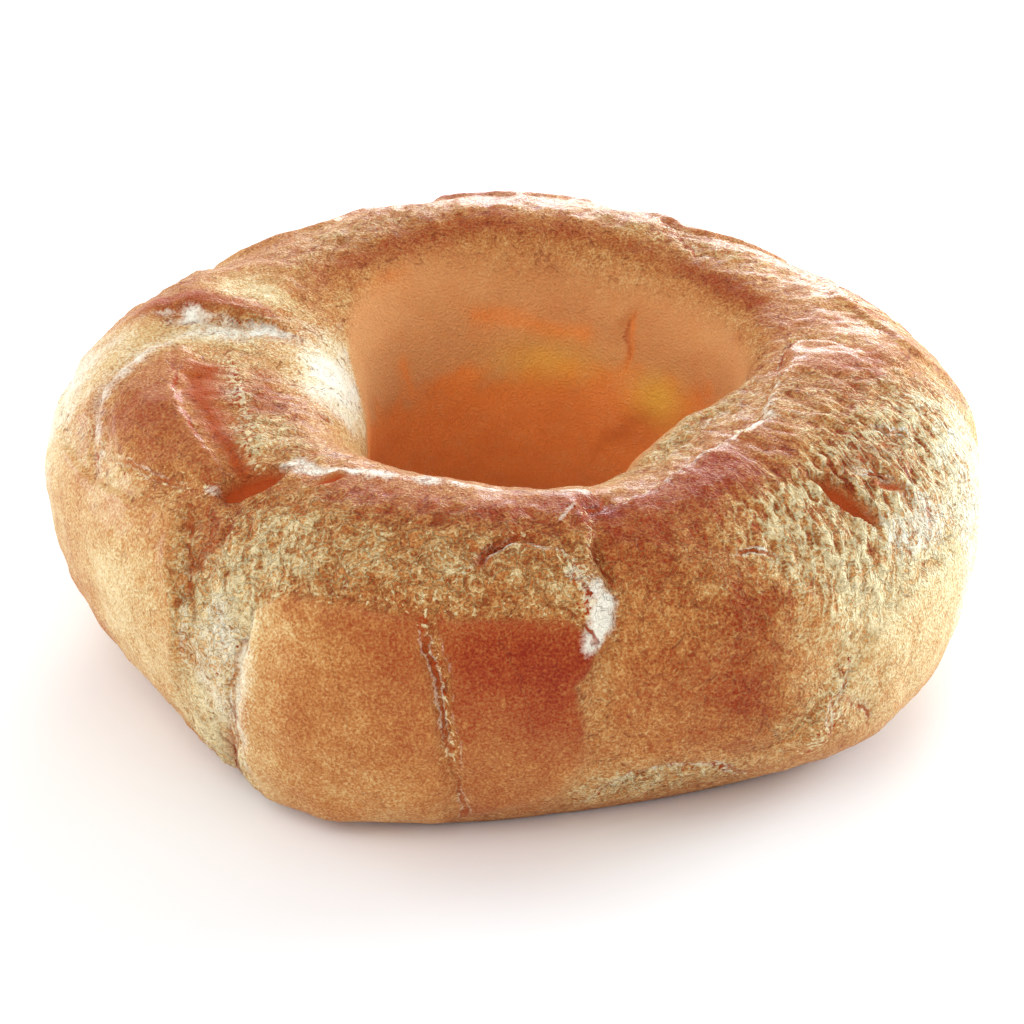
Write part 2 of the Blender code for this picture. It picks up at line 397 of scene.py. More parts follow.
# The steps. Where a plate has slid over its neighbour the skin drops at once. Each is a line of
# angle pairs, the rise in mm on its left hand (down if negative), how far in mm the rise fades
# out, the width of the drop, how pale the low side is, and how pale and wide the high lip is.
steps = {
    "right edge of the front block": (
        ((18, 97), (15, 92), (12, 84), (11, 70), (11, 58), (12, 48), (12.6, 40), (12.4, 31),
         (11.2, 23), (9, 14), (9.6, 4), (10, -14)), -1.0, 4.0, 0.35, 0.0, 0.0, 0.5),
    # The rolled lip's white is a painted highlight, the glare of the right light on its bulge.
    "rolled white lip": (
        ((8.5, 58), (11.5, 48), (12.5, 40), (12.3, 31), (11, 23), (9.4, 17)),
        -0.3, 1.8, 0.4, 0.0, 1.35, 2.0),
    "blister arc": (
        ((-4.5, 52), (-3.5, 58), (-1, 63), (3, 65), (7, 62), (9, 56)),
        -0.60, 2.5, 0.3, 0.0, 0.8, 0.45),
    "short tear": (
        ((0.5, 70), (-2, 64), (-3.4, 60), (-4.5, 54), (-7, 49)), -0.5, 1.6, 0.3, 0.05, 0.4, 0.4),
    "notch flake": (((7.5, 74), (9, 80), (11, 88)), 0.4, 1.2, 0.3, 0.0, 0.7, 0.5),
    "front seam lip": (
        ((-9.2, 33), (-8.8, 24), (-7.2, 13), (-7, 0), (-6.5, -8), (-6.5, -22), (-5.5, -32)),
        0.25, 2.0, 0.3, 0.0, 0.40, 0.30),
    # This ridge's white lip is partly pale crust and partly a painted highlight of the back light.
    "ridge along the right crest": (
        ((17, 88), (20, 90), (28, 96), (40, 100), (49, 99.5), (56, 97), (61, 96), (70, 101),
         (80, 105), (92, 104)), -1.5, 4.5, 0.35, 0.30, 0.9, 0.55),
    "shelf flakes": (
        ((34, 112), (44, 119), (54, 117), (64, 121), (76, 116)), -0.6, 2.0, 0.35, 0.0, 0.5, 0.4),
    "pale top edge of the front-left plate": (
        ((-34, 12), (-33, 27), (-28.5, 35.5), (-23, 37)), 0.30, 2.0, 0.3, 0.0, 0.0, 0.5),
    "pale side of the front-left plate": (
        ((-35, -46), (-34.6, -20), (-34.6, -4), (-34, 12), (-32.5, 26)),
        0.35, 2.5, 0.35, 0.40, 0.0, 0.5),
    "left front step": (
        ((-51, 56), (-49, 46), (-46.5, 36), (-44, 24), (-42.5, 10), (-43, -8)),
        -0.75, 4.0, 0.35, 0.0, 0.35, 0.5),
    "left ridge": (
        ((-68, 30), (-72, 38), (-77, 46), (-82, 54), (-87, 62), (-92, 70), (-97, 80),
         (-101, 88)), -0.7, 3.0, 0.35, 0.25, 0.55, 1.6),
    "left crest flakes": (
        ((-46, 80), (-55, 89.5), (-63, 94.5), (-71, 96.5), (-80, 96), (-90, 95)),
        -0.45, 2.0, 0.35, 0.3, 0.4, 0.5),
    "domed plate fold": (domed_plate_seam, -0.20, 1.6, 0.40, 0.0, 0.0, 0.4),
    "right crest lump edge": (right_crest_seam, -0.35, 2.0, 0.35, 0.1, 0.3, 0.5),
    "right base ledge": (
        ((9, -52), (12, -40), (15, -33), (20, -29), (26, -30), (34, -42)),
        0.7, 2.5, 0.35, 0.2, 0.5, 0.4),
    "left base ledge": (
        ((-44, -36), (-40, -46), (-30, -54), (-18, -57), (-6, -54)),
        0.6, 3.0, 0.35, 0.5, 0.3, 0.4),
    "right low fold": (
        ((43, 6), (41, -6), (39, -16), (40, -28)), -0.4, 3.0, 0.45, 0.2, 0.2, 0.4),
    "back-left lobe edge": (
        ((-105, 62), (-106.5, 74), (-106, 86), (-105, 98), (-104.5, 110), (-105, 118)),
        0.9, 2.6, 0.40, 0.80, 0.0, 0.5),
    "back rim step": (back_rim_seam, 0.25, 3.0, 0.5, 0.0, 0.0, 0.5),
    "back seam right": (back_seam_right, 0.6, 5.0, 0.4, 0.1, 0.1, 0.5),
    "back seam left": (back_seam_left, -0.6, 5.0, 0.4, 0.1, 0.1, 0.5),
    "right back seam": (right_back_seam, -0.6, 5.0, 0.4, 0.1, 0.1, 0.5),
    "left back seam": (left_back_seam, 0.6, 5.0, 0.4, 0.1, 0.1, 0.5),
    "hole fold": (((155, 204), (150, 194), (143, 186), (134, 182)), 0.9, 4.0, 0.5, 0.0, 0.0, 0.5),
}

# A step wanders less than a crack. Its drop fades past its ends, and the pale dough below it
# fades with distance, both in mm. The lip's paleness fades over this share of its width.
step_wander = 0.7
past_end_width = 1.2
pale_side_width = 1.3
lip_fullness = 0.6

step_relief = np.zeros_like(around)
cream = np.zeros_like(around)
for line, left_rise, reach, drop, low_pale, lip_pale, lip_width in steps.values():
    distance, progress, side = line_distance(line, step_wander)
    taper = np.sqrt(np.sin(np.pi * np.clip(progress, 0.01, 0.99)))
    past_end = np.exp(-(distance / past_end_width) ** 2)
    strength = taper * np.where((progress > 0) & (progress < 1), 1.0, past_end)
    climb = side * np.sign(left_rise) * distance
    fading = np.exp(-(distance / reach) ** 2) * strength
    step_relief += 0.5 * abs(left_rise) * fading * np.tanh(climb / drop)
    below = np.exp(-(np.minimum(climb, 0) / pale_side_width) ** 2) * (climb < 0)
    low = low_pale * strength * below
    from_lip = (climb - 0.5 * lip_width) / (lip_fullness * lip_width)
    lip = lip_pale * strength * np.exp(-from_lip ** 2)
    cream = np.maximum(cream, np.maximum(low, lip))


# The cracks. Fine tears where the crust opened last. Each is a line of angle pairs, the half
# width and depth of its groove in mm, and how much dark caramel (ember) or pale dough (cream)
# shows in its fine line.
cracks = {
    "front seam": (
        ((-11, 33), (-10.2, 22), (-8.6, 8), (-8, -4), (-7.6, -14)), 0.70, 0.50, 0.95, 0.4),
    "front seam tail": (
        ((-7.6, -14), (-6.6, -26), (-6, -38), (-7, -48), (-10, -50)), 0.35, 0.25, 0.7, 0.3),
    "front-left plate side": (
        ((-33.6, 16), (-35, -2), (-35.6, -22), (-38, -46)), 0.5, 0.30, 0.5, 0.5),
    "front-left wedge": (((-36.5, -14), (-38, -32), (-40, -50)), 0.8, 0.6, 1.0, 0.1),
    "rim notch": (((18, 98), (15, 92), (13, 88), (11, 84)), 1.0, 0.9, 1.0, 0.3),
    "block edge tear": (((11.5, 70), (11.5, 60), (12.6, 50), (13.2, 44)), 0.5, 0.5, 1.0, 0.1),
    "lip crack": (((7, 37), (8.5, 32), (9.8, 27), (10.2, 21)), 0.40, 0.40, 1.0, 0.1),
    "short front tear": (((0.8, 70), (-1.6, 64), (-3, 60), (-4, 54)), 0.50, 0.8, 1.0, 0.3),
    "left ridge crack": (
        ((-68, 28), (-72, 37), (-77, 45), (-82, 53), (-87, 61), (-92, 70), (-97, 80)),
        0.5, 0.5, 1.0, 0.4),
    "left domed plate foot": (
        ((-70, 42), (-64, 49), (-58, 52), (-52, 58)), 0.6, 0.30, 0.5, 0.3),
    "left domed plate fold": (domed_plate_seam, 0.4, 0.30, 1.0, 0.1),
    "left front step crack": (
        ((-50, 54), (-48.5, 46), (-46, 36), (-43.5, 24), (-42, 12)), 0.6, 0.3, 0.8, 0.2),
    "right crest crack": (right_crest_seam, 0.5, 0.45, 1.0, 0.4),
    "first right small crack": (((30, 55), (33, 52), (35, 47)), 0.5, 0.35, 0.9, 0.6),
    "second right small crack": (((56, 66), (58, 58), (60, 48)), 0.55, 0.45, 0.9, 0.5),
    "third right small crack": (((66, 72), (70, 62), (71, 52)), 0.5, 0.35, 0.6, 0.6),
    "right low crack": (((42, 4), (41, -4), (39, -14), (40, -24)), 0.5, 0.3, 0.5, 0.4),
    "right low crack branch": (((41, -8), (45, -16), (46, -24)), 0.5, 0.3, 0.9, 0.3),
    "right base crack": (
        ((12, -41), (15, -34), (20, -30), (26, -31), (33, -42)), 0.5, 0.4, 0.9, 0.6),
    "left base crack": (
        ((-44, -38), (-40, -47), (-30, -55), (-18, -58), (-8, -55)), 0.6, 0.4, 0.8, 0.7),
    "hole crack": (((146, 142), (147, 152), (146, 168)), 0.7, 0.6, 0.5, 0.0),
    "back rim crack": (back_rim_seam, 0.5, 0.2, 0.8, 0.2),
    "back seam right": (back_seam_right, 0.7, 0.5, 0.8, 0.35),
    "back seam left": (back_seam_left, 0.7, 0.5, 0.8, 0.35),
    "back cross crack": (((169, 38), (178, 43), (-172, 36), (-164, 38)), 0.5, 0.35, 0.8, 0.25),
    "right back seam": (right_back_seam, 0.7, 0.6, 0.8, 0.35),
    "left back seam": (left_back_seam, 0.7, 0.6, 0.8, 0.35),
    "right side crack": (((90, 60), (88, 36), (91, 10), (88, -16)), 0.7, 0.5, 0.8, 0.6),
}

crack_relief = np.zeros_like(around)
crack_line = np.full_like(around, out_of_reach)
crack_ember = np.zeros_like(around)
crack_cream = np.zeros_like(around)
for line, half_width, depth, orange, pale in cracks.values():
    distance, progress, side = line_distance(line)
    taper = np.sqrt(np.sin(np.pi * np.clip(progress, 0.02, 0.98)))
    crack_relief -= depth * taper * np.exp(-(distance / half_width) ** 2)
    closer = distance < np.abs(crack_line)
    crack_line = np.where(closer, distance * np.where(side == 0, 1, side), crack_line)
    crack_ember = np.where(closer, orange * taper, crack_ember)
    crack_cream = np.where(closer, pale * taper, crack_cream)


# The torn pits. A few leaf-shaped blisters have burst and show smooth glazed dough inside.
# Each is its two ends as angle pairs, the half width at the middle, and the depth in mm.
pits = {
    "left pit": ((-47.5, 62), (-42.0, 86), 1.9, 1.3),
    "left small pit": ((-34, 84), (-32, 93), 0.6, 0.35),
    "right pit": ((49.5, 72), (52.5, 42), 1.15, 1.2),
    "right side pit": ((57, 54), (60, 46), 0.45, 0.4),
    "left slope pit": ((-66, 132), (-63, 126), 0.6, 0.5),
}

# A pit's raised rim: its height, place outside the leaf and width in mm, and its paleness.
pit_wander = 0.35
rim_rise = 0.12
rim_offset = 0.45
rim_width = 0.35
rim_cream = 0.15
pit_ember = 0.92

pit_relief = np.zeros_like(around)
pit_floor = np.zeros_like(around)
for start, end, half_width, depth in pits.values():
    distance, progress, _ = line_distance((start, end), pit_wander)
    leaf = half_width * np.sqrt(np.clip(np.sin(np.pi * progress), 0, 1)) + 0.05
    hollow = smooth_step(leaf - distance, -0.30, 0.35)
    rim = np.exp(-((distance - leaf - rim_offset) / rim_width) ** 2)
    pit_relief += rim_rise * rim - depth * hollow
    pit_floor = np.maximum(pit_floor, hollow)
    cream = np.maximum(cream, rim_cream * rim)
ember = pit_ember * pit_floor


# The rough dough. Between the plates the crust is crumbly and pimpled, and high on the right
# and left slopes it is drawn into short worm-like ridges. Spots are centre, half widths in
# degrees, and strength.
rough_spots = (
    (-10, 58, 24, 20, 1.0),
    (-40, 24, 8, 26, 0.9),
    (-34, 60, 12, 20, 0.6),
    (-52, 96, 9, 10, 1.0),
    (-38, -34, 8, 18, 0.8),
    (-66, 104, 18, 9, 0.8),
    (40, 56, 20, 30, 0.6),
    (28, 30, 13, 40, 0.25),
    (60, 30, 16, 34, 0.7),
    (74, 70, 16, 30, 0.8),
    (40, -14, 8, 12, 0.9),
    (56, 124, 26, 12, 0.8),
    (20, -40, 12, 10, 0.9),
    (-30, -60, 14, 8, 0.9),
    (-108, 96, 14, 14, 0.7),
    (150, 84, 24, 14, 0.6),
    (-150, 90, 20, 12, 0.5),
    (110, 20, 10, 40, 0.5),
    (-118, 10, 8, 40, 0.6),
)
pulled_spots = (
    (52, 56, 13, 26, 1.0),
    (64, 62, 12, 20, 0.9),
    (76, 44, 10, 24, 0.7),
    (38, 62, 9, 18, 0.7),
    (44, 30, 10, 14, 0.6),
    (-34, 44, 10, 22, 0.55),
    (112, 50, 14, 26, 0.6),
)

# Where the skin tore, loose crumbs of pale and dark dough lie in bands along the tears. Each is
# a line of angle pairs, its half width in mm, and its strength.
crumb_bands = (
    (((-10.6, 34), (-9.8, 24), (-8.2, 10), (-7.6, -2), (-7.4, -14)), 0.65, 0.9),
    (((-30, 38), (-20, 40), (-10, 38), (0, 37.5), (8, 37)), 1.2, 0.45),
    (((14, 92), (11.5, 78), (11, 66), (11, 56)), 0.6, 0.7),
    (((7.5, 58), (9, 50), (9.5, 42), (9, 35)), 1.0, 1.0),
    (((1, 71), (-2, 64), (-4, 56), (-8, 48)), 0.7, 0.8),
    (((-36, -40), (-36.5, -16), (-36, 6), (-34, 22)), 2.2, 0.5),
    (((-47, 82), (-55, 91), (-63, 96), (-71, 97.5), (-80, 97), (-88, 96)), 0.9, 1.0),
    (((-76, 28), (-69, 38), (-64, 46), (-57, 52), (-50, 60)), 1.3, 0.45),
    (((17, 90), (28, 97), (40, 101), (52, 100), (61, 97)), 0.9, 0.6),
    (((84, 112), (91, 110), (98, 103), (98, 94), (92, 82)), 1.0, 0.8),
    (((60, 70), (66, 62), (70, 52)), 1.2, 0.8),
    (((41, 2), (40, -12), (38, -24)), 1.5, 0.9),
    (((9, -46), (14, -36), (22, -31), (32, -40)), 1.2, 0.8),
    (((-44, -38), (-36, -52), (-20, -58)), 1.2, 0.8),
    (((-50, 62), (-50, 68)), 0.7, 0.6),
)
crumbs = soft_bands(crumb_bands)

# The smooth wall of the hole begins at this angle across, and blends over this many degrees, at
# the same twelve stations as the section.
mouth_across = between_stations(
    (150, 140, 136, 140, 128, 128, 128, 122, 140, 172, 165, 155), around)
mouth_blend = between_stations((10, 8, 6, 8, 14, 16, 16, 10, 4, 4, 6, 8), around)
hole_side = smooth_step(across_deg, mouth_across - mouth_blend, mouth_across + mouth_blend)
rough_everywhere = 0.30
plate_polish = 0.95
pulled = np.clip(all_patches(pulled_spots), 0, 1) * (1 - pit_floor)
rough = np.clip(rough_everywhere + np.clip(all_patches(rough_spots), 0, 1), 0, 1)
rough = rough * (1 - plate_polish * sleek) * (1 - hole_side) * (1 - pit_floor)
sleek = np.maximum(sleek, np.maximum(hole_side, pit_floor))

# Relief in mm: a broad undulation everywhere, and pimples and pebbles where it is rough.
pimple_height = 0.045
rough_pimple_height = 0.20
rough_pebble_height = 0.26
undulation = 0.35 * gradient_noise(skin, 8.0, 21) + 0.21 * gradient_noise(skin, 3.6, 22)
pimples = gradient_noise(skin, 1.5, 23) + 0.7 * gradient_noise(skin, 0.9, 24)
pebbles = 0.55 - np.clip(speck_distance(skin, 1.5, 26), 0, 1)

# The drawn dough lies in short ridges that run steeply down the slope on both sides, this wide,
# long and high in mm, and slanting this much outwards. Each side has its own ridges.
ridge_width = 1.3
ridge_length = 4.2
ridge_height = 0.24
ridge_slant = 0.4
right_side_offset = 0.3
left_side_offset = 7.7
outward_mm = np.abs(around_deg) * np.radians(1) * (rope_radius + 0.6 * rope_half_width)
upward_mm = across_deg * mm_across
drawn = np.stack([
    (outward_mm - ridge_slant * upward_mm) / ridge_width + 0.35 * wander[0],
    (ridge_slant * outward_mm + upward_mm) / ridge_length,
    np.where(around_deg > 0, right_side_offset, left_side_offset),
], -1)
ridges = 1 - 2.4 * np.abs(gradient_noise(drawn, 1.0, 25))
texture_relief = (
    undulation
    + pimple_height * pimples
    + rough * (rough_pimple_height * pimples + rough_pebble_height * pebbles)
    + ridge_height * pulled * ridges
)

fine_relief = plate_relief + step_relief + crack_relief + pit_relief + texture_relief
fine_relief = fine_relief * above_foot
skin = skin + fine_relief[..., None] * outward_normals(skin)


# The foot. Where the ring sat on the tray it is flat, dry and faintly pocked, and it is cut off
# level. The whole skin is then centred over the origin, as the frame has it, and made one mesh.
pock_depth = 0.25
tray_pocks = np.clip(0.9 - speck_distance(skin, 3.0, 31), 0, 1) + 0.3 * np.abs(pimples)
under_tray = -skin[..., 2]
pocked = pock_depth * tray_pocks * smooth_step(under_tray, 0.0, 1.0)
skin[..., 2] = np.where(under_tray > 0, pocked, skin[..., 2])
foot_mask = smooth_step(-skin[..., 2], -0.8, 0.1)
middle = (skin.reshape(-1, 3).min(0) + skin.reshape(-1, 3).max(0)) / 2
skin[..., :2] -= middle[:2]


# The browning, 0 pale to 1 dark. What stands highest and longest in the heat bakes darkest, and
# dough that tore open late stays pale. Spots are as above, with the browning they add or take.
base_browning = 0.46
foot_browning = 0.62
brown_spots = (
    (-8, 82, 26, 14, 0.22),
    (15, 89, 3, 7, 0.35),
    (15, 60, 4, 10, 0.15),
    (-26, 84, 12, 10, 0.12),
    (40, 88, 22, 12, 0.25),
    (-13, 14, 6, 26, 0.18),
    (-24, 30, 8, 7, 0.10),
    (19, 74, 12, 26, 0.16),
    (17, 62, 6, 20, 0.09),
    (29.5, 32, 4.5, 10, 0.30),
    (28, 2, 3.2, 18, 0.22),
    (20, 14, 9, 34, 0.10),
    (-72, 66, 13, 18, 0.20),
    (2, -14, 9, 16, 0.06),
    (30, 0, 16, 24, 0.05),
    (52, 52, 16, 22, 0.10),
    (58, 118, 26, 9, 0.08),
    (-44, 50, 7, 24, 0.20),
    (-66, 110, 14, 9, 0.18),
    (-108, 80, 3.8, 20, 0.30),
    (-134, 108, 22, 9, 0.15),
    (180, 107, 34, 9, 0.18),
    (146, 108, 20, 9, 0.17),
    (122, 106, 16, 10, 0.22),
    (86, 84, 9, 18, 0.12),
    (-150, 30, 16, 34, 0.14),
    (150, 30, 16, 34, 0.16),
    (-172, 54, 14, 24, 0.16),
    (112, 40, 12, 30, 0.10),
)
pale_spots = (
    (-37, 20, 8, 28, 0.42),
    (-40, -30, 9, 20, 0.34),
    (-24, -34, 12, 18, 0.06),
    (-58, 0, 12, 34, 0.34),
    (-92, 10, 14, 44, 0.40),
    (-96, 60, 9, 30, 0.20),
    (-66, 46, 7, 12, 0.15),
    (-52, 98, 7, 9, 0.20),
    # The next spot's paleness on the inner left slope is partly painted light from the back right.
    (-94, 140, 26, 24, 0.55),
    (14, -6, 5, 16, 0.08),
    (-116, 94, 6, 16, 0.35),
    (-98, 92, 5, 18, 0.20),
    (46, 40, 12, 26, 0.15),
    (44, 0, 12, 30, 0.20),
    (62, 10, 16, 40, 0.28),
    (80, 16, 14, 50, 0.34),
    (56, 126, 26, 16, 0.26),
    (-12, 56, 20, 12, 0.07),
    (22, 40, 14, 22, 0.05),
    (16, -36, 14, 14, 0.15),
    (-20, 58, 12, 12, 0.05),
    (148, 176, 8, 10, 0.12),
    (-128, 20, 8, 40, 0.15),
    (130, 10, 8, 40, 0.15),
)
browning = (
    base_browning
    + plate_browning
    + all_patches(brown_spots)
    - all_patches(pale_spots)
    + 0.09 * gradient_noise(skin, 9.0, 41)
    + 0.06 * gradient_noise(skin, 3.5, 42)
    + 0.10 * np.clip(undulation, -0.4, 0.4)
)

# Dark caramel runs in the torn valleys: line of angle pairs, half width in mm, and strength.
caramel_runs = (
    (((-84, 91), (-75, 89.5), (-67, 87.5), (-57, 84), (-49, 78.5)), 1.15, 0.90),
    (((-84, 108), (-74, 106), (-64, 101)), 1.3, 0.45),
    (((-108, 64), (-109.5, 76), (-109, 90), (-108.5, 102)), 1.3, 0.45),
    (((74, 82), (84, 78), (92, 76)), 1.2, 0.30),
    (((54, 66), (60, 66), (66, 60)), 1.6, 0.35),
    (((84, 111), (91, 109), (97, 103)), 0.6, 0.60),
    (((-44, 50), (-43, 40), (-44, 30)), 1.0, 0.55),
    (((0.6, 70), (-1.8, 64), (-3.2, 60), (-4.2, 54)), 0.45, 0.95),
    (((-37, -22), (-38, -36), (-39, -46)), 0.9, 0.60),
)
ember = np.maximum(ember, soft_bands(caramel_runs))

# The dark front plate has its own burnt spots, which end at its edge.
burnt_spots = (
    (2, 19, 12, 19, 0.30),
    (7, 23, 5, 10, 0.12),
    (4, 0, 6, 13, 0.14),
)
browning += plate_mask["dark front plate"] * all_patches(burnt_spots)
# Raised pimples, pebbles and drawn ridges paler, hollows browner: painted light and shade.
browning -= rough * (0.07 + 0.16 * np.clip(pimples, -1, 1) + 0.16 * pebbles)
browning -= 0.26 * pulled * np.clip(ridges, -1, 1)
browning = browning * (1 - foot_mask) + foot_browning * foot_mask

# White spots, round both ends and in places on the left. The white at the right and left ends,
# on the inner left slope and on a streak high at the left back is painted highlight of the soft
# lights; the rest is bare dough that stayed white. Spots are as above, with how white they are.
white_spots_and_highlights = (
    (80, 26, 14, 46, 0.32),
    (74, -4, 12, 28, 0.30),
    (-94, 24, 14, 50, 0.46),
    (-37, 4, 6, 30, 0.36),
    (-94, 140, 24, 22, 0.75),
    (58, 32, 7, 12, 0.40),
    (-99, 99, 4, 10, 0.55),
    (-49.5, 62.5, 1.2, 3, 0.80),
)
# The white spots are patchy, and the white rims, lips and painted highlights are worn
# through in places.
patchy = 0.9 + 0.5 * gradient_noise(skin, 4.5, 43) + 0.35 * gradient_noise(skin, 1.8, 44)
worn = np.clip(0.70 + 0.45 * gradient_noise(skin, 4.0, 45)
               + 0.60 * gradient_noise(skin, 1.5, 46), 0.20, 1.0)
cream = np.clip(cream * worn + patchy * all_patches(white_spots_and_highlights), 0, 1)

# White lines: line of angle pairs, half width in mm, and strength. The first, along the front
# rim, and the second, high at the left back, are painted highlights of the low lights behind;
# the third is a dry white rim of torn skin on the right shelf.
white_rim_and_highlight_lines = (
    (((-42, 90), (-32, 96), (-22, 100), (-13, 102.5), (-2, 103), (7, 102), (13, 98)), 1.1, 0.75),
    (((-104.5, 80), (-103, 90), (-102, 98), (-101.5, 106)), 1.4, 0.95),
    (((44, 118), (56, 117), (68, 117)), 0.9, 0.40),
)
white_rims_and_highlights = worn * soft_bands(white_rim_and_highlight_lines, wandering=2.0)
cream = np.maximum(cream, white_rims_and_highlights) * (1 - hole_side)


# Deep in the hole the dough stayed moist and orange, with an uneven upper edge and a few runs,
# and it is yellow as yolk in two spots. Part of this orange and yellow is painted glow, made
# brighter and more saturated than the dough, for light shining through the thin crust.
moist_edge = across_deg + 9.0 * gradient_noise(skin, 6.0, 51) + 5.0 * gradient_noise(skin, 2.2, 52)
moist_orange_glow = smooth_step(moist_edge, 164, 178)
moist_runs = (
    (((-170, 150), (-178, 152), (172, 155), (160, 157)), 1.0, 0.8),
    (((146, 144), (145, 158), (146, 174)), 0.5, 0.9),
    (((-143, 160), (-144, 172), (-150, 176)), 0.7, 0.7),
    (((-122, 112), (-135, 118), (-150, 122)), 1.4, 0.5),
)
moist_orange_glow = np.maximum(moist_orange_glow, soft_bands(moist_runs, wandering=0.5))
yolk_glow_spots = ((134, 176, 8, 9, 1.0), (170, 168, 16, 8, 0.6))
yolk_glow = np.clip(all_patches(yolk_glow_spots), 0, 1)


def closed_grid_mesh(name, surface):
    """Mesh of a grid that is closed both ways: one quad for each step, in metres."""
    rows, columns = surface.shape[:2]
    index = np.arange(rows * columns).reshape(rows, columns)
    right = np.roll(index, -1, 0)
    corners = np.stack([index, right, np.roll(right, -1, 1), np.roll(index, -1, 1)], -1)
    mesh = bpy.data.meshes.new(name)
    mesh.from_pydata((surface.reshape(-1, 3) * MM).tolist(), [], corners.reshape(-1, 4).tolist())
    mesh.polygons.foreach_set("use_smooth", np.ones(rows * columns, bool))
    mesh.update()
    return mesh


crust_mesh = closed_grid_mesh("choux_crust", skin)
for name, values in {
    "browning": browning,
    "ember": ember,
    "cream": cream,
    "rough": rough,
    "sleek": sleek,
    "inside": np.maximum(hole_side, 0.5 * pit_floor),
    "deep": moist_orange_glow,
    "yolk_glow": yolk_glow,
    "crumbs": crumbs * (1 - hole_side) * (1 - pit_floor),
    "pulled": pulled,
    "crack_line": crack_line,
    "crack_ember": crack_ember,
    "crack_cream": crack_cream,
    "foot": foot_mask,
}.items():
    layer = crust_mesh.attributes.new(name, "FLOAT", "POINT")
    layer.data.foreach_set("value", values.ravel().astype(np.float32))
flow = crust_mesh.attributes.new("drawn", "FLOAT_VECTOR", "POINT")
flow.data.foreach_set("vector", drawn.ravel().astype(np.float32))
crust = bpy.data.objects.new("choux_crust", crust_mesh)
bpy.context.collection.objects.link(crust)


# The crust's finish. Egg-washed choux bakes from cream through gold to red-brown, with a dry
# grain of fine pimples and pores, and a thin broken shine from the wash.
def new_group(name, inputs, outputs):
    """Empty shader node group with float, colour or vector sockets, given as (name, kind)."""
    group = bpy.data.node_groups.new(name, "ShaderNodeTree")
    for socket, kind in inputs:
        group.interface.new_socket(socket, in_out="INPUT", socket_type="NodeSocket" + kind)
    for socket, kind in outputs:
        group.interface.new_socket(socket, in_out="OUTPUT", socket_type="NodeSocket" + kind)
    entry = group.nodes.new("NodeGroupInput")
    leave = group.nodes.new("NodeGroupOutput")
    return group, entry.outputs, leave.inputs


def add_node(tree, kind, values=(), links=(), **settings):
    """Node of one kind, with settings, socket values and links given by socket name or index."""
    node = tree.nodes.new(kind)
    for key, value in settings.items():
        setattr(node, key, value)
    for socket, value in values:
        node.inputs[socket].default_value = value
    for socket, source in links:
        tree.links.new(source, node.inputs[socket])
    return node


def math_node(tree, operation, first, second=None, clamp=False):
    """Math node of two values, each a socket or a number; returns its output."""
    node = tree.nodes.new("ShaderNodeMath")
    node.operation = operation
    node.use_clamp = clamp
    for slot_index, value in enumerate((first, second)):
        if value is None:
            continue
        if isinstance(value, (int, float)):
            node.inputs[slot_index].default_value = value
        else:
            tree.links.new(value, node.inputs[slot_index])
    return node.outputs[0]


def mix_colours(tree, share, first, second):
    """The first colour with a share, a socket, of the second one mixed in; each colour is a
    socket or an RGBA value; returns the output."""
    node = tree.nodes.new("ShaderNodeMix")
    node.data_type = "RGBA"
    tree.links.new(share, node.inputs[0])
    for slot_index, value in ((6, first), (7, second)):
        if isinstance(value, tuple):
            node.inputs[slot_index].default_value = value
        else:
            tree.links.new(value, node.inputs[slot_index])
    return node.outputs[2]


def remap(tree, value, from_low, from_high, to_low=0.0, to_high=1.0):
    """Value carried from one range to another, held at its ends."""
    node = tree.nodes.new("ShaderNodeMapRange")
    for slot_index, number in enumerate((from_low, from_high, to_low, to_high), start=1):
        node.inputs[slot_index].default_value = number
    tree.links.new(value, node.inputs[0])
    return node.outputs[0]


def srgb(red, green, blue):
    """RGBA in scene light from a colour as the eye reads it, 0 to 255."""
    def linear(channel):
        share = channel / 255
        return share / 12.92 if share <= 0.04045 else ((share + 0.055) / 1.055) ** 2.4
    return (linear(red), linear(green), linear(blue), 1.0)


def noise_field(tree, vector, size_mm, detail=2.0, roughness=0.5, distortion=0.0):
    """Noise whose lumps are about size_mm across; returns its value."""
    node = add_node(
        tree, "ShaderNodeTexNoise",
        values=(("Scale", 1 / (size_mm * MM)), ("Detail", detail), ("Roughness", roughness),
                ("Distortion", distortion)),
        links=(("Vector", vector),),
    )
    return node.outputs["Fac"]


def product(tree, first, second):
    """The two values multiplied."""
    return math_node(tree, "MULTIPLY", first, second)


def added(tree, first, second):
    """The two values added."""
    return math_node(tree, "ADD", first, second)


def less(tree, first, second):
    """The first value less the second."""
    return math_node(tree, "SUBTRACT", first, second)


